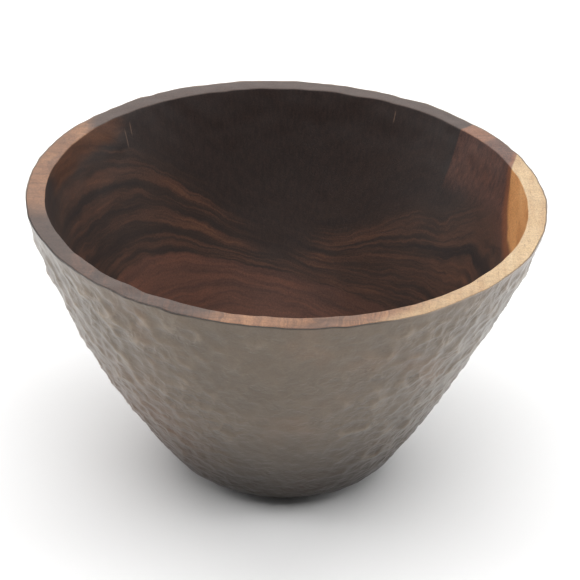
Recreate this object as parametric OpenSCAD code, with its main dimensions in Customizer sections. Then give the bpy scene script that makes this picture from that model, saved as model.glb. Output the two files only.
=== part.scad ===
// Serving bowl turned from one block of wood, set in a hammered copper skin,
// with a cork pad under its base. All of it is round about the Z axis.
// Millimetres. The origin is the middle of the underside, and +Z points up.

/* [Bowl] */
// Diameter over the copper at the rim
rim_d = 304.8; // [290:0.1:330]
// Height from the table to the rim
height = 177.8; // [165:0.1:190]
// Diameter of the flat under the base
base_flat_d = 90; // [84:1:104]
// Radius of the turn from the base into the wall
foot_round = 32; // [24:1:40]
// Radius of the wall's outward bow
wall_bow = 570; // [440:5:900]

/* [Wood] */
// Thickness of the wood, square to the wall
wood_wall_t = 9.4; // [8:0.1:13]
// Thickness of the wood under the floor of the bowl
wood_floor_t = 12; // [8:0.5:18]
// Radius of the turn from the floor inside into the wall
well_round = 44; // [30:1:50]
// Radius of the eased edges of the rim
rim_ease = 1.2; // [0.4:0.1:2.4]

/* [Copper skin] */
// Thickness of the copper sheet
skin_t = 1; // [0.6:0.1:2]

/* [Adhesive] */
// Thickness of the adhesive between the copper and the wood
bond_t = 0.4; // [0.2:0.1:0.8]
// Depth of the open groove above the adhesive at the rim
bond_drop = 1.6; // [1:0.1:3]

/* [Cork pad] */
// Diameter of the pad
pad_d = 80; // [60:1:82]
// Thickness of the pad
pad_t = 1.6; // [1:0.1:3]

/* [Hidden] */

$fn = 96;
wall_steps = 20;
turn_steps = 8;
ease_steps = 5;

WOOD = [0.36, 0.23, 0.17];
COPPER = [0.52, 0.47, 0.43];
ADHESIVE = [0.1, 0.08, 0.07];
CORK = [0.72, 0.56, 0.4];

// Depths below the outer surface, square to it
bond_depth = skin_t;
wood_depth = bond_depth + bond_t;
inside_depth = wood_depth + wood_wall_t;
floor_z = pad_t + wood_depth + wood_floor_t;

// The outline is a level base, a turn and one long bow, each tangent to the next
rim_point = [rim_d / 2, height];
turn_centre = [base_flat_d / 2, pad_t + foot_round];
bow_centre = crossing(rim_point, wall_bow, turn_centre, wall_bow - foot_round);
turn_end = direction(turn_centre - bow_centre);

// The floor inside turns up into the same bow, set in by the wall's thickness
well_lift = floor_z + well_round - bow_centre.y;
well_centre = [
    bow_centre.x + sqrt(pow(wall_bow - inside_depth - well_round, 2) - pow(well_lift, 2)),
    floor_z + well_round
];
well_end = direction(well_centre - bow_centre);

function unit(v) = v / norm(v);
function direction(v) = atan2(v.y, v.x);

// Where two circles cross, taking the crossing nearer the bowl's axis
function crossing(a, radius_a, b, radius_b) =
    let (
        gap = norm(b - a),
        towards = unit(b - a),
        along = (pow(radius_a, 2) - pow(radius_b, 2) + pow(gap, 2)) / (2 * gap),
        aside = sqrt(pow(radius_a, 2) - pow(along, 2))
    )
    a + along * towards + aside * [towards.y, -towards.x];

function arc(centre, radius, from, to, steps) = [
    for (i = [0 : steps])
        let (angle = from + (to - from) * i / steps)
        centre + radius * [cos(angle), sin(angle)]
];

// A corner replaced by an arc that meets both of its sides
function eased(before, corner, after, radius) =
    let (
        to_before = unit(before - corner),
        to_after = unit(after - corner),
        half = acos(to_before * to_after) / 2,
        centre = corner + unit(to_before + to_after) * radius / sin(half),
        start = direction(corner + to_before * radius / tan(half) - centre),
        finish = direction(corner + to_after * radius / tan(half) - centre)
    )
    arc(centre, radius, start, start + short_turn(finish - start), ease_steps);

function short_turn(angle) = angle - 360 * round(angle / 360);

// The bow, from the end of a turn up to a level, at a depth below the outer surface
function bow(depth, from, top) =
    let (radius = wall_bow - depth)
    arc(bow_centre, radius, from, asin((top - bow_centre.y) / radius), wall_steps);

// The outline from the axis, along the base and up to a level, at a depth
function outline(depth, top) = concat(
    [[0, pad_t + depth]],
    arc(turn_centre, foot_round - depth, -90, turn_end, turn_steps),
    tail(bow(depth, turn_end, top))
);

// The hollow from the axis, along the floor and up to the rim
hollow = concat(
    [[0, floor_z]],
    arc(well_centre, well_round, -90, well_end, turn_steps),
    tail(bow(inside_depth, well_end, height))
);

function tail(list) = [for (i = [1 : len(list) - 1]) list[i]];
function but_last(list) = [for (i = [0 : len(list) - 2]) list[i]];
function last(list) = list[len(list) - 1];
function backwards(list) = [for (i = [len(list) - 1 : -1 : 0]) list[i]];

// A round shell between two depths, from the base up to a level
module shell(outer_depth, inner_depth, top) {
    rotate_extrude()
        polygon(concat(outline(outer_depth, top), backwards(outline(inner_depth, top))));
}

module wood_bowl() {
    outside = outline(wood_depth, height);
    outer_edge = last(outside);
    inner_edge = last(hollow);
    color(WOOD)
        rotate_extrude()
            polygon(concat(
                but_last(outside),
                eased(last(but_last(outside)), outer_edge, inner_edge, rim_ease),
                eased(outer_edge, inner_edge, last(but_last(hollow)), rim_ease),
                backwards(but_last(hollow))
            ));
}

module copper_skin() {
    color(COPPER)
        shell(0, bond_depth, height);
}

module adhesive_bed() {
    color(ADHESIVE)
        shell(bond_depth, wood_depth, height - bond_drop);
}

module cork_pad() {
    color(CORK)
        cylinder(d = pad_d, h = pad_t);
}

wood_bowl();
copper_skin();
adhesive_bed();
cork_pad();
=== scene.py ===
"""A turned wooden bowl in a hammered copper skin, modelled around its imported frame.

Metres, +Z up, the underside at zero. Each piece is a turned outline, spun about the
Z axis, and then hammered or eased by modifiers that are applied.
"""

import math

import bpy
from mathutils import Euler, Matrix, Vector


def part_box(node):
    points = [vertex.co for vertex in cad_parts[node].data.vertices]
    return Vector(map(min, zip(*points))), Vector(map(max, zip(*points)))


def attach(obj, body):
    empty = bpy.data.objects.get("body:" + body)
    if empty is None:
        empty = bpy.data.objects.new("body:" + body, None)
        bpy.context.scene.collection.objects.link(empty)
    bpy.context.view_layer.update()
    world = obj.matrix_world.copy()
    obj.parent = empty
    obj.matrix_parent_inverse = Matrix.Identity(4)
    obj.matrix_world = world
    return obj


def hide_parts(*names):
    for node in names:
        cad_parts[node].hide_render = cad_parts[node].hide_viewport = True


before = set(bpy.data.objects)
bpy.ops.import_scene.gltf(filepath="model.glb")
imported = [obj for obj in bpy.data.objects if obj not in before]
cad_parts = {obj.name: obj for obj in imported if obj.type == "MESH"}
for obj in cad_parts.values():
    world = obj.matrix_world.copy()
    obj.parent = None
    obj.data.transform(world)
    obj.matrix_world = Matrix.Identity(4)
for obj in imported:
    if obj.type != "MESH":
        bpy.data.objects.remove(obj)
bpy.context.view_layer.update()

MM = 0.001

# Sizes that the frame gives
COPPER_LOW, COPPER_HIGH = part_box("copper_skin")
ADHESIVE_LOW, ADHESIVE_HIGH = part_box("adhesive_bed")
WOOD_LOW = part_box("wood_bowl")[0]
CORK_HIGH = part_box("cork_pad")[1]
RIM_RADIUS = COPPER_HIGH.x
RIM_Z = COPPER_HIGH.z
CORK_RADIUS = CORK_HIGH.x
CORK_THICKNESS = CORK_HIGH.z
COPPER_THICKNESS = ADHESIVE_LOW.z - COPPER_LOW.z
ADHESIVE_THICKNESS = WOOD_LOW.z - ADHESIVE_LOW.z
GROOVE_DEPTH = RIM_Z - ADHESIVE_HIGH.z

# Sizes that the turned outline shares with the design
BASE_FLAT_RADIUS = 45 * MM
FOOT_ROUND = 32 * MM
WALL_BOW = 570 * MM
WOOD_WALL = 9.4 * MM
WOOD_FLOOR = 12 * MM
WELL_ROUND = 44 * MM

# Depths below the outer surface, square to it
ADHESIVE_DEPTH = COPPER_THICKNESS
WOOD_DEPTH = ADHESIVE_DEPTH + ADHESIVE_THICKNESS
INSIDE_DEPTH = WOOD_DEPTH + WOOD_WALL
FLOOR_Z = CORK_THICKNESS + WOOD_DEPTH + WOOD_FLOOR


# ---------------------------------------------------------------- the turned outline

def crossing(a, radius_a, b, radius_b):
    """Where two circles cross, taking the crossing nearer the bowl's axis."""
    gap = (b - a).length
    towards = (b - a).normalized()
    along = (radius_a ** 2 - radius_b ** 2 + gap ** 2) / (2 * gap)
    aside = math.sqrt(radius_a ** 2 - along ** 2)
    return a + along * towards + aside * Vector((towards.y, -towards.x))


def direction(v):
    return math.atan2(v.y, v.x)


def arc(centre, radius, start, end, steps):
    turn = (end - start) / steps
    angles = [start + turn * i for i in range(steps + 1)]
    return [centre + radius * Vector((math.cos(a), math.sin(a))) for a in angles]


TURN_CENTRE = Vector((BASE_FLAT_RADIUS, CORK_THICKNESS + FOOT_ROUND))
BOW_CENTRE = crossing(Vector((RIM_RADIUS, RIM_Z)), WALL_BOW, TURN_CENTRE, WALL_BOW - FOOT_ROUND)
TURN_END = direction(TURN_CENTRE - BOW_CENTRE)
WELL_LIFT = FLOOR_Z + WELL_ROUND - BOW_CENTRE.y
WELL_REACH = WALL_BOW - INSIDE_DEPTH - WELL_ROUND
WELL_CENTRE = Vector((
    BOW_CENTRE.x + math.sqrt(WELL_REACH ** 2 - WELL_LIFT ** 2),
    FLOOR_Z + WELL_ROUND,
))
WELL_END = direction(WELL_CENTRE - BOW_CENTRE)


def bow(depth, start, top, steps):
    radius = WALL_BOW - depth
    return arc(BOW_CENTRE, radius, start, math.asin((top - BOW_CENTRE.y) / radius), steps)


def level(radius, z, steps):
    """Points along a level disc, from near the axis out to a radius."""
    return [Vector((radius * i / steps, z)) for i in range(steps)]


def outside_outline(depth, top, base_steps, turn_steps, wall_steps):
    """From the axis, along the base, round the turn and up the wall."""
    return (
        level(BASE_FLAT_RADIUS, CORK_THICKNESS + depth, base_steps)
        + arc(TURN_CENTRE, FOOT_ROUND - depth, -math.pi / 2, TURN_END, turn_steps)
        + bow(depth, TURN_END, top, wall_steps)[1:]
    )


def eased(corner, before, after, reach, steps):
    """Round a corner between its two neighbours, starting a reach away on each side."""
    start = corner + reach * (before - corner).normalized()
    end = corner + reach * (after - corner).normalized()
    shares = [i / steps for i in range(steps + 1)]
    return [start.lerp(corner, t).lerp(corner.lerp(end, t), t) for t in shares]


def wall_at(depth, z):
    """A point in the wall, at a depth below the outer surface and at a height."""
    radius = WALL_BOW - depth
    return BOW_CENTRE + Vector((math.sqrt(radius ** 2 - (z - BOW_CENTRE.y) ** 2), z - BOW_CENTRE.y))


def inside_outline(top, base_steps, turn_steps, wall_steps):
    """From the axis, along the floor inside, round the well and up the wall."""
    return (
        level(WELL_CENTRE.x, FLOOR_Z, base_steps)
        + arc(WELL_CENTRE, WELL_ROUND, -math.pi / 2, WELL_END, turn_steps)
        + bow(INSIDE_DEPTH, WELL_END, top, wall_steps)[1:]
    )


# ---------------------------------------------------------------- modelling tools

def only(piece):
    """Select one object alone and make it active."""
    bpy.ops.object.select_all(action="DESELECT")
    piece.select_set(True)
    bpy.context.view_layer.objects.active = piece


def turned(name, outline, steps):
    """Extrude an outline point by point, spin it round the Z axis and close it."""
    bpy.ops.object.select_all(action="DESELECT")
    bpy.ops.mesh.primitive_plane_add(size=2 * MM)
    piece = bpy.context.object
    piece.name = name
    bpy.ops.object.mode_set(mode="EDIT")
    bpy.ops.mesh.select_all(action="SELECT")
    bpy.ops.mesh.merge(type="CENTER")
    here = Vector((0, 0, 0))
    for i, point in enumerate(outline):
        there = Vector((point.x, 0, point.y))
        if i == 0:
            bpy.ops.transform.translate(value=there - here)
        else:
            bpy.ops.mesh.extrude_region_move(TRANSFORM_OT_translate={"value": there - here})
        here = there
    bpy.ops.mesh.select_all(action="SELECT")
    bpy.ops.mesh.spin(steps=steps, angle=math.tau, center=(0, 0, 0), axis=(0, 0, 1))
    bpy.ops.mesh.select_all(action="SELECT")
    bpy.ops.mesh.remove_doubles(threshold=0.01 * MM)
    bpy.ops.mesh.normals_make_consistent(inside=False)
    bpy.ops.object.mode_set(mode="OBJECT")
    bpy.ops.object.shade_smooth()
    return piece


def weigh(piece, name, weight):
    """A vertex group whose weight at each point comes from a rule."""
    group = piece.vertex_groups.new(name=name)
    for vertex in piece.data.vertices:
        group.add([vertex.index], weight(vertex), "REPLACE")
    return group.name


def displace(piece, name, texture, strength, direction="NORMAL", middle=0.5, weights=""):
    """Push a piece's surface by a solid texture and apply it."""
    only(piece)
    modifier = piece.modifiers.new(name, "DISPLACE")
    modifier.texture = texture
    modifier.texture_coords = "LOCAL"
    modifier.direction = direction
    modifier.mid_level = middle
    modifier.strength = strength
    if weights:
        modifier.vertex_group = weights
    bpy.ops.object.modifier_apply(modifier=name)


def nudge(piece, name, axis, distance, weight):
    """Move part of a piece along an axis, as much as a rule says."""
    weigh(piece, name, weight)
    displace(piece, name, None, distance, axis, 0.0, name)


def finish_piece(piece, nodes, material):
    piece.data.materials.clear()
    piece.data.materials.append(material)
    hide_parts(*nodes)
    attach(piece, "root")


# ---------------------------------------------------------------- shader tools

class Shade:
    """A shader socket that does arithmetic: an expression adds its own Math nodes."""

    def __init__(self, maker, socket):
        self.maker = maker
        self.socket = socket

    def __add__(self, other):
        return self.maker.math("ADD", self, other)

    def __radd__(self, other):
        return self.maker.math("ADD", other, self)

    def __sub__(self, other):
        return self.maker.math("SUBTRACT", self, other)

    def __rsub__(self, other):
        return self.maker.math("SUBTRACT", other, self)

    def __mul__(self, other):
        return self.maker.math("MULTIPLY", self, other)

    def __rmul__(self, other):
        return self.maker.math("MULTIPLY", other, self)

    def __truediv__(self, other):
        return self.maker.math("DIVIDE", self, other)

    def __neg__(self):
        return self.maker.math("MULTIPLY", self, -1.0)

    def __pow__(self, other):
        return self.maker.math("POWER", self, other)

    def __abs__(self):
        return self.maker.math("ABSOLUTE", self)


class Maker:
    """Builds the nodes of one material, or of the world."""

    def __init__(self, owner):
        self.owner = owner
        owner.use_nodes = True
        self.tree = owner.node_tree
        self.tree.nodes.clear()

    def node(self, kind, settings=None, values=None, output=0):
        """A node of a kind, with its settings first, then its values or links."""
        made = self.tree.nodes.new(kind)
        for key, value in (settings or {}).items():
            if key == "stops":
                set_stops(made.color_ramp, value)
            elif key == "ease":
                made.color_ramp.interpolation = value
            else:
                setattr(made, key, value)
        for key, value in (values or {}).items():
            if isinstance(value, Shade):
                self.tree.links.new(value.socket, made.inputs[key])
            else:
                made.inputs[key].default_value = value
        return Shade(self, made.outputs[output]) if made.outputs else None

    def math(self, operation, *values):
        return self.node("ShaderNodeMath", {"operation": operation}, dict(enumerate(values)))

    def attribute(self, name):
        """A value that each point of the mesh carries."""
        return self.node("ShaderNodeAttribute", {"attribute_name": name}, output="Fac")

    def place(self, scale=(1, 1, 1), turn=(0, 0, 0), shift=(0, 0, 0)):
        """The point on the piece, in millimetres, turned and stretched."""
        spot = self.node("ShaderNodeTexCoord", output="Object")
        size = tuple(s / MM for s in scale)
        return self.node("ShaderNodeMapping", {"vector_type": "POINT"}, {
            "Vector": spot, "Location": shift, "Rotation": turn, "Scale": size,
        })

    def noise(self, vector, scale, detail=2.0, roughness=0.5, distortion=0.0, output="Fac"):
        return self.node("ShaderNodeTexNoise", {}, {
            "Vector": vector, "Scale": scale, "Detail": detail,
            "Roughness": roughness, "Distortion": distortion,
        }, output)

    def ramp(self, value, stops, ease="EASE"):
        """A colour for each value, through the stops given."""
        return self.node("ShaderNodeValToRGB", {"ease": ease, "stops": stops}, {"Fac": value})

    def levels(self, value, points, ease="EASE"):
        """A grey level for each value, through the points given."""
        return self.ramp(value, [(place, (level,) * 3) for place, level in points], ease)

    def curve(self, value, low, high, points, top):
        """A smooth height over a range, through the points given."""
        span = high - low
        shares = [((place - low) / span, height / top) for place, height in points]
        return self.levels((value - low) / span, shares, "CARDINAL") * top

    def shifted(self, vector, noise, amount):
        """A vector pushed about by a coloured noise."""
        centred = self.node("ShaderNodeVectorMath", {"operation": "SUBTRACT"}, {
            0: noise, 1: (0.5, 0.5, 0.5),
        })
        return self.node("ShaderNodeVectorMath", {"operation": "MULTIPLY_ADD"}, {
            0: centred, 1: (amount, amount, amount), 2: vector,
        })

    def crease(self, noise):
        """Sharp ridges, 1 along the lines where a noise passes its middle."""
        return 1 - self.math("MINIMUM", abs(noise - 0.5) * 5.0, 1.0)

    def fade(self, value, low, high):
        """0 below low and 1 above high, smooth between them."""
        return self.node("ShaderNodeMapRange", {"interpolation_type": "SMOOTHSTEP"}, {
            "Value": value, "From Min": low, "From Max": high,
        })

    def mix(self, share, a, b, blend="MIX"):
        """Colour a, turned into colour b by a share."""
        return self.node("ShaderNodeMix", {"data_type": "RGBA", "blend_type": blend}, {
            "Factor": share, 6: a, 7: b,
        }, 2)

    def vector(self, x, y, z):
        return self.node("ShaderNodeCombineXYZ", {}, {"X": x, "Y": y, "Z": z})

    def split(self, vector):
        first = self.node("ShaderNodeSeparateXYZ", {}, {"Vector": vector})
        return [Shade(self, socket) for socket in first.socket.node.outputs]

    def bump(self, height, distance, strength=1.0):
        return self.node("ShaderNodeBump", {}, {
            "Height": height, "Distance": distance, "Strength": strength,
        })

    def surface(self, **values):
        """The Principled surface; names use _ for a space."""
        named = {key.replace("_", " "): value for key, value in values.items()}
        shader = self.node("ShaderNodeBsdfPrincipled", {}, named)
        self.node("ShaderNodeOutputMaterial", {}, {"Surface": shader})
        return self.owner


def set_stops(ramp, stops):
    """Each stop is a place and a colour."""
    while len(ramp.elements) < len(stops):
        ramp.elements.new(1.0)
    for element, (position, colour) in zip(ramp.elements, stops):
        element.position = position
        element.color = (*colour, 1.0)


def rgb(red, green, blue):
    """A colour given as it looks on a screen, 0 to 255, made linear."""
    return tuple(
        c / 12.92 if c <= 0.04045 else ((c + 0.055) / 1.055) ** 2.4
        for c in (red / 255, green / 255, blue / 255)
    )


def solid(red, green, blue):
    """A colour for a socket, given as it looks on a screen."""
    return (*rgb(red, green, blue), 1.0)


# ---------------------------------------------------------------- materials

def patinated_copper():
    """Copper gone grey-brown, lighter on the ridges between the hammer marks: partly rubbed wear,
    partly painted highlight.
    """
    make = Maker(bpy.data.materials.new("patinated_copper"))
    spot = make.place()
    x, y, z = make.split(spot)
    cloud = make.noise(spot, 0.018, 3.0, 0.55)
    grain = make.noise(spot, 0.9, 3.0, 0.6)
    worn = make.attribute("worn")
    brim = make.attribute("brim")
    struck = make.attribute("struck")
    tone = make.ramp(cloud, [
        (0.30, rgb(97, 85, 72)),
        (0.52, rgb(104, 91, 77)),
        (0.72, rgb(114, 94, 77)),
    ])
    colour = make.mix(0.2, tone, make.ramp(grain, [
        (0.3, rgb(82, 72, 62)), (0.7, rgb(123, 110, 95)),
    ]))
    crooked = make.shifted(spot, make.noise(spot, 0.09, 3.0, 0.6, output="Color"), 7.0)
    wide = make.crease(make.noise(crooked, 0.075, 1.0, 0.5))
    tight = make.crease(make.noise(crooked, 0.15, 1.0, 0.5))
    patchy = make.fade(make.noise(spot, 0.04, 2.0, 0.5), 0.35, 0.62)
    # creases and pushed-out ridges are painted lighter: partly rubbed wear, partly painted
    # highlight
    crease_wear_and_highlight = (wide ** 4.0 * 0.6 + tight ** 3.0 * 0.5 * patchy) * (0.4 + 0.6 * struck)
    ridge_wear_and_highlight = make.fade(worn, 0.1, 0.8)
    colour = make.mix(0.18 * crease_wear_and_highlight + 0.28 * ridge_wear_and_highlight, colour, solid(172, 157, 140))
    hollow = 1 - make.fade(worn, -0.5, 0.1)
    colour = make.mix(0.2 * hollow, colour, solid(78, 70, 63))
    # darker towards the foot: partly a darker patina, partly painted shade low on the bowl near the
    # floor
    foot_patina_and_painted_shade = 1 - make.fade(z, -4.0, 102.0)
    colour = make.mix(0.92 * foot_patina_and_painted_shade, colour, solid(38, 26, 19))
    warm = (1 - make.fade(x, -110.0, -10.0)) * (1 - make.fade(z, 50.0, 130.0))
    colour = make.mix(0.5 * warm * (0.4 + cloud), colour, solid(108, 70, 44))
    # the brim is pale, but at the front it carries a painted shadow of the seam between copper and
    # wood, fading out to the right
    painted_seam_shade = (1 - make.fade(x, 40.0, 90.0)) * (1 - make.fade(y, -50.0, 20.0))
    brim_tone_and_painted_seam_shade = make.mix(painted_seam_shade, solid(150, 134, 120), solid(40, 32, 28))
    colour = make.mix(brim * (0.6 + 0.3 * painted_seam_shade), colour, brim_tone_and_painted_seam_shade)
    roughness = 0.30 + 0.12 * make.noise(spot, 0.05, 3.0, 0.6)
    fine = make.noise(crooked, 0.33, 3.0, 0.6)
    height = (0.75 * wide + 0.6 * tight * patchy) * (0.25 + 0.75 * struck) + 0.38 * fine
    return make.surface(
        Base_Color=colour,
        Metallic=0.75,
        Roughness=roughness,
        Coat_Weight=0.48 - 0.44 * foot_patina_and_painted_shade,
        Coat_Roughness=0.3,
        Normal=make.bump(height, 0.9 * MM, 1.0),
    )


BLOCK_HALF_WIDTH = 150
CURVE_TOP = 200


def growth_layer(make, x, z):
    """The growth layer at a point: 0 on a lower layer and 1 on an upper one.

    Both layers are given in millimetres.
    """
    lower = make.curve(x, -BLOCK_HALF_WIDTH, BLOCK_HALF_WIDTH, [
        (-150, 96), (-100, 96), (-60, 90), (-30, 80), (0, 72), (35, 66), (80, 70), (150, 92),
    ], CURVE_TOP)
    upper = make.curve(x, -BLOCK_HALF_WIDTH, BLOCK_HALF_WIDTH, [
        (-150, 160), (-115, 151), (-80, 133), (-40, 108), (0, 93), (32, 86), (75, 101),
        (100, 112), (125, 130), (150, 145),
    ], CURVE_TOP)
    return (z - lower) / (upper - lower)


def orange_by_layer(make, layer, x):
    """How orange each growth layer is, from 0 for dark to 1."""
    left = make.levels(layer * 0.5 + 0.1, [
        (0.00, 0.62), (0.085, 0.55), (0.10, 0.05), (0.125, 0.10), (0.15, 0.60),
        (0.18, 0.35), (0.21, 0.62), (0.25, 0.12), (0.29, 0.15), (0.32, 0.85),
        (0.37, 0.75), (0.40, 0.15), (0.45, 0.28), (0.49, 0.62), (0.53, 0.15),
        (0.57, 0.80), (0.62, 0.75), (0.65, 0.12), (0.80, 0.10), (0.90, 0.20),
    ])
    right = make.levels(layer * 0.4 + 0.1, [
        (0.00, 0.60), (0.10, 0.40), (0.16, 0.50), (0.21, 0.80), (0.25, 0.25),
        (0.30, 0.45), (0.40, 0.75), (0.475, 0.60), (0.49, 0.10), (0.53, 0.12),
        (0.55, 0.70), (0.68, 0.65), (0.72, 0.30), (0.78, 0.55), (0.86, 0.25), (1.00, 0.45),
    ])
    return make.split(make.mix(make.fade(x, -28.0, 12.0), left, right))[0]


def dark_heart(make, x, z, depth, layer):
    """The dark heart towards the back: 1 inside it and 0 outside."""
    left_edge = -16 - 1.08 * (z - 88)
    above = make.math("MAXIMUM", z - 130, 0.0)
    right_edge = 24 + 0.72 * (z - 95) + 0.03 * above * above
    heart = make.fade(x - left_edge, -14.0, 14.0)
    heart = heart * (1 - make.fade(x - right_edge, -18.0, 10.0))
    heart = heart * make.fade(z, 71.0, 87.0) * make.fade(depth, -20.0, 30.0)
    right_of_heart = make.fade(layer, 1.45, 1.8) * make.fade(x, 0.0, 20.0)
    right_of_heart = right_of_heart * make.fade(depth, -20.0, 30.0) * 0.8
    return make.math("MAXIMUM", heart, right_of_heart)


def tool_scratches(make, colour, across, depth, height):
    """Three light scratches, high on the inside."""
    for turn, low, high in [(137, 157, 170), (135, 163, 173), (62, 166, 175)]:
        sine, cosine = math.sin(math.radians(turn)), math.cos(math.radians(turn))
        scratch = 1 - make.fade(abs(depth * cosine - across * sine), 0.1, 0.55)
        scratch = scratch * make.fade(across * cosine + depth * sine, 0.0, 9.0)
        scratch = scratch * make.fade(height, low, low + 3)
        scratch = scratch * (1 - make.fade(height, high - 3, high))
        colour = make.mix(0.3 * scratch, colour, solid(150, 120, 100))
    return colour


def oiled_wood():
    """One block of dark wood: bowed growth layers, a dark heart, a pale sapwood side."""
    make = Maker(bpy.data.materials.new("oiled_wood"))
    spot = make.place()
    broad = make.noise(spot, 0.016, 2.0, 0.5, output="Color")
    loose = make.noise(spot, 0.07, 3.0, 0.55, output="Color")
    drifted = make.shifted(make.shifted(spot, broad, 9.0), loose, 6.0)
    x, _, z = make.split(drifted)
    true_x, true_y, true_z = make.split(spot)
    rim = make.attribute("rim")
    layer = growth_layer(make, x, z)
    band = orange_by_layer(make, layer, x)

    # fine streaks that follow the layers
    along = make.vector(x * 0.014, true_y * 0.014, layer * 9.0)
    streak = make.noise(along, 1.0, 5.0, 0.62)
    fine_along = make.vector(x * 0.03, true_y * 0.03, layer * 26.0)
    fine_streak = make.noise(fine_along, 1.0, 3.0, 0.6)
    clear = make.fade(make.noise(spot, 0.022, 2.0, 0.5), 0.36, 0.6)
    orange = (0.15 + 0.28 * clear) * (band - 0.4) + 0.31
    orange = orange + 1.1 * (streak - 0.5) + 0.65 * (fine_streak - 0.5)

    # the heart and the left end are darker
    heart = dark_heart(make, x, z, true_y, layer)
    orange = orange * (1 - (0.62 + 0.26 * make.fade(z, 98.0, 135.0)) * heart)
    orange = orange * (0.55 + 0.45 * make.fade(true_x, -142.0, -112.0))
    colour = make.ramp(orange, [
        (0.00, rgb(38, 29, 27)),
        (0.25, rgb(52, 38, 32)),
        (0.50, rgb(76, 51, 40)),
        (0.75, rgb(100, 66, 47)),
        (1.00, rgb(122, 83, 56)),
    ], "LINEAR")

    # reddish wood below the lower layer, with one dark band in it
    red = 1 - make.fade(layer, -0.06, 0.0)
    red_tone = make.ramp(streak, [(0.3, rgb(74, 50, 42)), (0.7, rgb(102, 65, 51))])
    colour = make.mix(0.85 * red, colour, red_tone)
    low_band = make.fade(z, 55.0, 60.0) * (1 - make.fade(z, 62.0, 66.0)) * make.fade(x, 0.0, 28.0)
    colour = make.mix(0.5 * low_band * red, colour, solid(54, 40, 35))

    # a straight break at the back right, with redder wood beyond it
    across = 0.743 * true_y - 0.669 * true_x
    beyond = (1 - make.fade(across, -0.6, 0.6)) * make.fade(z, 138.0, 156.0)
    beyond = beyond * make.fade(true_y, 0.0, 12.0)
    upright = make.vector(true_x * 0.5, true_y * 0.5, true_z * 0.02)
    upright_streak = make.noise(upright, 1.0, 3.0, 0.6)
    heart_tone = make.ramp(upright_streak, [(0.35, rgb(38, 28, 26)), (0.65, rgb(60, 44, 39))])
    colour = make.mix(0.3 * heart, colour, heart_tone)
    beyond_tone = make.ramp(upright_streak, [(0.2, rgb(58, 38, 33)), (0.8, rgb(94, 60, 48))])
    colour = make.mix(0.9 * beyond, colour, beyond_tone)
    edge_tan = beyond * rim * make.fade(across, -25.0, -19.0)
    colour = make.mix(0.75 * edge_tan, colour, solid(122, 80, 55))
    crack = make.fade(across, -0.9, 0.0) * (1 - make.fade(across, 0.0, 9.0))
    crack = crack * make.fade(true_z, 146.0, 152.0) * make.fade(true_y, 0.0, 12.0)
    colour = make.mix(0.6 * crack, colour, solid(40, 33, 31))

    # the sapwood starts at an edge that bends away at the front and the back
    front_curve = make.math("MAXIMUM", -true_y - 20, 0.0)
    back_curve = make.math("MAXIMUM", true_y - 20, 0.0)
    sap_edge = 131.5 - 0.0046 * front_curve * front_curve + 0.0035 * back_curve * back_curve
    sap_edge = sap_edge + 2 * (make.noise(spot, 0.05) - 0.5)
    from_sap = true_x - sap_edge

    # tan wood at the left of the rim and all along the front
    front_tan = make.fade(from_sap, -122.0, -84.0) * make.fade(-true_y, 60.0, 110.0)
    dim_patch = make.fade(from_sap, -48.0, -38.0) * (1 - make.fade(from_sap, -34.0, -20.0))
    front_tan = front_tan * (1 - 0.6 * dim_patch)
    left_tan = make.fade(z, 163.0, 170.0) * (1 - make.fade(x + 16 * rim, -110.0, -98.0))
    left_tan = left_tan * make.fade(true_y + 46 * rim, 4.0, 32.0)
    tan = make.ramp(streak + 0.5 * (fine_streak - 0.5), [
        (0.36, rgb(104, 70, 47)), (0.5, rgb(124, 85, 57)), (0.64, rgb(140, 99, 67)),
    ])
    darker = make.mix(1.0, tan, (0.44, 0.34, 0.28, 1.0), "MULTIPLY")
    tan = make.mix(rim, darker, tan)
    colour = make.mix(0.88 * front_tan + 0.8 * left_tan, colour, tan)

    # sapwood, orange along its edge, more orange inside and paler on the rim
    soft_front = 9 * (1 - make.fade(true_y, -120.0, -50.0))
    sap = make.fade(from_sap + soft_front, -0.8 - soft_front, 0.8 + soft_front)
    sap_line = make.fade(from_sap, -4.0, -1.0) * (1 - sap)
    sap_line = sap_line * make.fade(true_y, -90.0, -40.0)
    colour = make.mix(0.6 * sap_line, colour, solid(128, 74, 42))
    sap_figure = make.noise(make.vector(true_x * 0.25, true_y * 0.02, true_z * 0.03), 1.0, 3.0)
    inside_sap = make.ramp(sap_figure, [
        (0.3, rgb(168, 112, 64)), (0.55, rgb(190, 134, 82)), (0.75, rgb(198, 146, 94)),
    ])
    rim_sap = make.ramp(sap_figure, [
        (0.3, rgb(170, 141, 104)), (0.55, rgb(180, 154, 117)), (0.75, rgb(188, 164, 129)),
    ])
    sap_tone = make.mix(rim, inside_sap, rim_sap)
    sap_tone = make.mix(0.3 * make.fade(-true_y, 70.0, 125.0), sap_tone, tan)
    colour = make.mix(sap, colour, sap_tone)
    colour = tool_scratches(make, colour, true_x, true_y, true_z)

    # the rim is paler, with its own fine lines
    lines = make.noise(make.vector(true_x * 0.05, true_y * 0.42, true_z * 0.1), 1.0, 4.0, 0.65)
    line_tone = make.levels(lines, [(0.32, 0.24), (0.5, 0.5), (0.68, 0.68)])
    colour = make.mix(0.55 * rim * (1 - 0.65 * sap), colour, line_tone, "OVERLAY")
    colour = make.mix(0.06 * rim, colour, solid(205, 165, 142))

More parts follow.
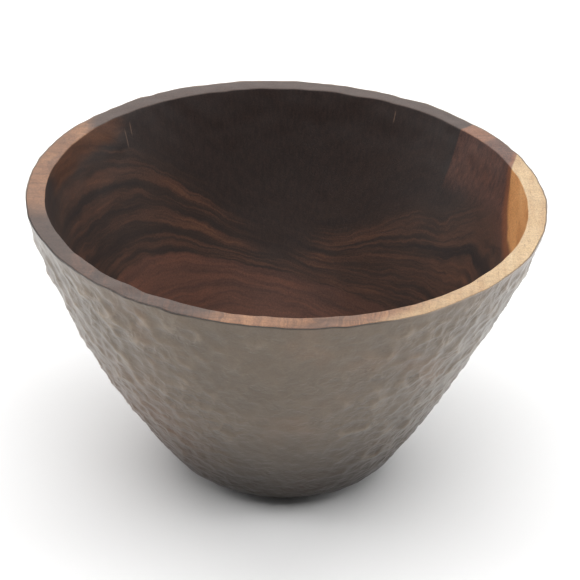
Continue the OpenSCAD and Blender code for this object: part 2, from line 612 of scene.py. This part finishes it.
    # pores and tool marks
    pore = make.noise(make.place((0.9, 0.12, 0.9)), 1.4, 2.0, 0.5)
    pores = make.fade(pore, 0.62, 0.72)
    colour = make.mix(0.35 * pores, colour, solid(34, 27, 25))
    grain = make.noise(spot, 1.1, 3.0, 0.65)
    colour = make.mix(0.2, colour, make.levels(grain, [(0.3, 0.0), (0.7, 1.0)]), "OVERLAY")
    height = 0.2 * make.noise(spot, 0.12, 2.0, 0.5) - 0.25 * pores + 0.2 * grain
    return make.surface(
        Base_Color=colour,
        Roughness=0.56 - 0.14 * rim,
        Specular_IOR_Level=0.35,
        Normal=make.bump(height, 0.3 * MM, 0.6),
    )


def dark_adhesive():
    make = Maker(bpy.data.materials.new("dark_adhesive"))
    spot = make.place()
    grain = make.noise(spot, 0.6, 3.0, 0.6)
    colour = make.ramp(grain, [(0.3, rgb(24, 19, 17)), (0.7, rgb(44, 36, 32))])
    return make.surface(Base_Color=colour, Roughness=0.7)


def pressed_cork():
    make = Maker(bpy.data.materials.new("pressed_cork"))
    spot = make.place()
    cell = make.node("ShaderNodeTexVoronoi", {}, {"Vector": spot, "Scale": 0.55}, "Color")
    shade = make.split(cell)[0]
    colour = make.ramp(shade, [
        (0.0, rgb(146, 104, 66)), (0.5, rgb(186, 142, 98)), (1.0, rgb(206, 166, 120)),
    ])
    return make.surface(Base_Color=colour, Roughness=0.85)


# ---------------------------------------------------------------- the pieces

ROUND_STEPS = 560
FINE_EDGE = 0.2 * MM
THIN_EDGE = 0.6 * MM
RIM_GAP = 0.08 * MM
WOOD_EASE_OUTSIDE = 0.45 * MM
WOOD_EASE_INSIDE = 0.7 * MM
MARK_SIZE = 9 * MM
MARK_DEPTH = 2.0 * MM
SMALL_MARK_SIZE = 5.5 * MM
SMALL_MARK_DEPTH = 0.5 * MM


def step_up(value, low, high):
    """0 below low and 1 above high, smooth between them."""
    t = min(max((value - low) / (high - low), 0), 1)
    return t * t * (3 - 2 * t)


def hump(value, middle, width):
    return math.exp(-((value - middle) / width) ** 2)


def solid_texture(name, kind, scale, **settings):
    texture = bpy.data.textures.new(name, kind)
    texture.noise_scale = scale
    for key, value in settings.items():
        setattr(texture, key, value)
    return texture


def wobbling(vertex):
    """The rim wanders most, but less at its left."""
    height = 0.2 + 0.8 * step_up(vertex.co.z, RIM_Z - 45 * MM, RIM_Z)
    return height * (1 - 0.5 * step_up(-vertex.co.x, 100 * MM, 140 * MM))


def hand_shape(piece):
    """The unevenness that the nested pieces share."""
    wobble = solid_texture("hand_wobble", "CLOUDS", 18 * MM, cloud_type="COLOR", noise_depth=1)
    weigh(piece, "upwards", wobbling)
    displace(piece, "wobble", wobble, 1.6 * MM, "RGB_TO_XYZ", 0.5, "upwards")
    nudge(piece, "middle_shift", "X", -1.7 * MM, lambda v: hump(v.co.z, 100 * MM, 38 * MM))
    nudge(piece, "foot_shift", "X", 1.6 * MM, lambda v: 1 - step_up(v.co.z, 8 * MM, 60 * MM))
    left = Vector((-146 * MM, -38 * MM, 152 * MM))
    right = Vector((143 * MM, -52 * MM, 152 * MM))
    nudge(piece, "left_bulge", "X", -2.0 * MM, lambda v: hump((v.co - left).length, 0, 26 * MM))
    nudge(piece, "right_bulge", "X", 1.2 * MM, lambda v: hump((v.co - right).length, 0, 28 * MM))


def faces_out(vertex):
    outward = Vector((vertex.co.x, vertex.co.y, 0)).normalized()
    return vertex.normal.dot(outward) > 0.1 or vertex.normal.z < -0.5


def hammering(vertex):
    """Hammering is on the outside only, gentler at the front, the base and the brim."""
    if not faces_out(vertex):
        return 0
    spot = vertex.co
    if spot.z < 2.2 * MM:
        return 0.1
    angle = math.degrees(math.atan2(spot.y, spot.x))
    front = hump(angle, -88, 26)
    low = 1 - step_up(spot.z, 4 * MM, 45 * MM)
    brim = step_up(spot.z, RIM_Z - 14 * MM, RIM_Z)
    return (1 - 0.72 * front) * (1 - 0.6 * low) * (1 - 0.75 * brim)


def make_copper_skin():
    edge = wall_at(0, RIM_Z)
    inner_edge = wall_at(THIN_EDGE, RIM_Z)
    outline = (
        outside_outline(0, RIM_Z - 1.2 * MM, 8, 20, 124)
        + eased(edge, wall_at(0, RIM_Z - 1 * MM), inner_edge, FINE_EDGE, 2)
        + eased(inner_edge, edge, wall_at(THIN_EDGE, RIM_Z - 1 * MM), FINE_EDGE, 2)
        + list(reversed(outside_outline(COPPER_THICKNESS, RIM_Z - 3 * MM, 2, 3, 8)))
    )
    skin = turned("hammered_skin", outline, ROUND_STEPS)
    heights = [v.co.z for v in skin.data.vertices]
    hand_shape(skin)
    weigh(skin, "hammering", hammering)
    before = [v.co.copy() for v in skin.data.vertices]
    outwards = [v.normal.copy() for v in skin.data.vertices]
    marks = solid_texture(
        "hammer_marks", "VORONOI", MARK_SIZE, distance_metric="DISTANCE_SQUARED",
    )
    displace(skin, "marks", marks, MARK_DEPTH, middle=0.35, weights="hammering")
    small = solid_texture(
        "small_marks", "VORONOI", SMALL_MARK_SIZE, distance_metric="DISTANCE_SQUARED",
    )
    displace(skin, "small_marks", small, SMALL_MARK_DEPTH, middle=0.35, weights="hammering")
    brim = skin.data.attributes.new("brim", "FLOAT", "POINT")
    brim.data.foreach_set("value", [float(z > RIM_Z - 0.35 * MM) for z in heights])
    struck = skin.data.attributes.new("struck", "FLOAT", "POINT")
    struck.data.foreach_set("value", [hammering(v) for v in skin.data.vertices])
    worn = skin.data.attributes.new("worn", "FLOAT", "POINT")
    for vertex, old, out in zip(skin.data.vertices, before, outwards):
        worn.data[vertex.index].value = (vertex.co - old).dot(out) / MM
    finish_piece(skin, ["copper_skin"], patinated_copper())


def make_wood_bowl():
    outer = wall_at(THIN_EDGE + RIM_GAP, RIM_Z)
    inner = wall_at(INSIDE_DEPTH, RIM_Z)
    outline = (
        outside_outline(WOOD_DEPTH, RIM_Z - 3 * MM, 3, 6, 20)
        + eased(outer, wall_at(WOOD_DEPTH, RIM_Z - 3 * MM), inner, WOOD_EASE_OUTSIDE, 5)
        + [outer.lerp(inner, i / 7) for i in range(2, 6)]
        + eased(inner, outer, wall_at(INSIDE_DEPTH, RIM_Z - 1 * MM), WOOD_EASE_INSIDE, 5)
        + list(reversed(inside_outline(RIM_Z - 2 * MM, 6, 16, 64)))
    )
    bowl = turned("turned_bowl", outline, ROUND_STEPS)
    rim = bowl.data.attributes.new("rim", "FLOAT", "POINT")
    levels = [step_up(v.co.z, RIM_Z - 0.5 * MM, RIM_Z - 0.1 * MM) for v in bowl.data.vertices]
    rim.data.foreach_set("value", levels)
    hand_shape(bowl)
    finish_piece(bowl, ["wood_bowl"], oiled_wood())


def make_adhesive_bed():
    outline = (
        outside_outline(ADHESIVE_DEPTH, RIM_Z - GROOVE_DEPTH, 2, 4, 12)
        + list(reversed(outside_outline(WOOD_DEPTH, RIM_Z - GROOVE_DEPTH, 2, 4, 12)))
    )
    bed = turned("adhesive_line", outline, ROUND_STEPS)
    hand_shape(bed)
    finish_piece(bed, ["adhesive_bed"], dark_adhesive())


def make_cork_pad():
    outline = level(CORK_RADIUS, 0, 4) + [Vector((CORK_RADIUS, 0))]
    outline += [Vector((CORK_RADIUS, CORK_THICKNESS))]
    outline += list(reversed(level(CORK_RADIUS, CORK_THICKNESS, 4)))
    pad = turned("cork_foot", outline, 96)
    finish_piece(pad, ["cork_pad"], pressed_cork())


# ---------------------------------------------------------------- camera, floor and light

CAMERA_RIM_RADII = 12
LENS_MM = 189.062
SENSOR_MM = 36
FLOOR_SIZE = 40


def make_camera():
    """Well away from the bowl, looking down over the rim."""
    distance = CAMERA_RIM_RADII * RIM_RADIUS
    look_down = math.radians(30.632)
    roll = math.radians(2.110)
    middle = Vector((0, 0, RIM_Z / 2))
    back = Vector((0, -math.cos(look_down), math.sin(look_down)))
    tilt = math.radians(0.6737)
    swing = math.radians(0.1456)
    turn = (
        Euler((math.pi / 2 - look_down, 0, 0)).to_matrix()
        @ Euler((0, 0, roll)).to_matrix()
        @ Euler((tilt, -swing, 0)).to_matrix()
    )
    bpy.ops.object.camera_add()
    camera = bpy.context.object
    camera.name = "camera"
    camera.matrix_world = Matrix.Translation(middle + distance * back) @ turn.to_4x4()
    camera.data.sensor_width = SENSOR_MM
    camera.data.lens = LENS_MM
    camera.data.clip_end = 20
    bpy.context.scene.camera = camera


def plain(name, colour, roughness):
    make = Maker(bpy.data.materials.new(name))
    return make.surface(Base_Color=(*colour, 1.0), Roughness=roughness)


def make_floor():
    bpy.ops.mesh.primitive_plane_add(size=FLOOR_SIZE)
    floor = bpy.context.object
    floor.name = "floor"
    floor.data.materials.append(plain("pale_floor", (0.86, 0.86, 0.86), 0.9))


def softbox(name, place, aim, width, height, power):
    bpy.ops.object.light_add(type="AREA", location=place)
    lamp = bpy.context.object
    lamp.name = name
    lamp.data.shape = "RECTANGLE"
    lamp.data.size = width
    lamp.data.size_y = height
    lamp.data.energy = power
    lamp.rotation_euler = (Vector(place) - Vector(aim)).to_track_quat("Z", "Y").to_euler()


def make_lights():
    world = bpy.data.worlds.new("studio")
    bpy.context.scene.world = world
    make = Maker(world)
    towards = make.split(make.node("ShaderNodeTexCoord", output="Generated"))
    strength = make.node("ShaderNodeMapRange", {}, {
        "Value": towards[1], "From Min": -0.7, "From Max": 0.1, "To Min": 0.22, "To Max": 0.98,
    })
    glow = make.node("ShaderNodeBackground", {}, {
        "Color": (0.05, 0.05, 0.05, 1.0), "Strength": strength,
    })
    make.node("ShaderNodeOutputWorld", {}, {"Surface": glow})
    centre = (0, 0, 0.1)
    softbox("top_softbox", (0, 0.1, 2.0), centre, 3.2, 2.6, 50)
    softbox("back_softbox", (0, 2.0, 1.3), centre, 4.4, 1.6, 40)
    softbox("front_softbox", (0, -1.6, 2.6), centre, 2.8, 1.0, 34)
    softbox("left_softbox", (-1.8, 0.1, 0.7), centre, 1.0, 1.2, 16)
    softbox("right_softbox", (1.8, 0.2, 0.7), centre, 1.0, 1.2, 16)


make_camera()
make_copper_skin()
make_wood_bowl()
make_adhesive_bed()
make_cork_pad()
make_floor()
make_lights()

bpy.context.scene.view_settings.view_transform = "Standard"
